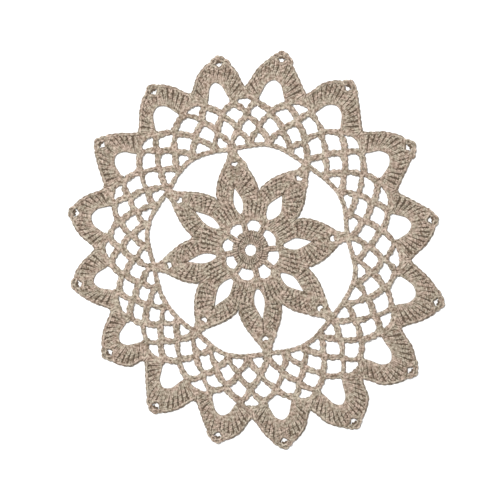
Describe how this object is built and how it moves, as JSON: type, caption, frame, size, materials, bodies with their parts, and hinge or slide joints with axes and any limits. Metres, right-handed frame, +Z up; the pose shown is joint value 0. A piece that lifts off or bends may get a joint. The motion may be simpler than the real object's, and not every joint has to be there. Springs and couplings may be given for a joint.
{
  "type": "round crochet doily",
  "caption": "Round openwork crochet doily that lies flat as a table centre: a petalled flower, a chain net round it and a scalloped edging.",
  "frame": {"origin": "centre of the bounding box, on the surface the doily lies on", "axes": "+Z up out of the face that shows, +X to the right and +Y away as it lies face up"},
  "size_m": [0.3402, 0.3594, 0.0028],
  "materials": {
    "yarn": "matt beige cotton yarn, lightly mottled"
  },
  "bodies": {
    "root": {"doily": "yarn"}
  },
  "joints": []
}
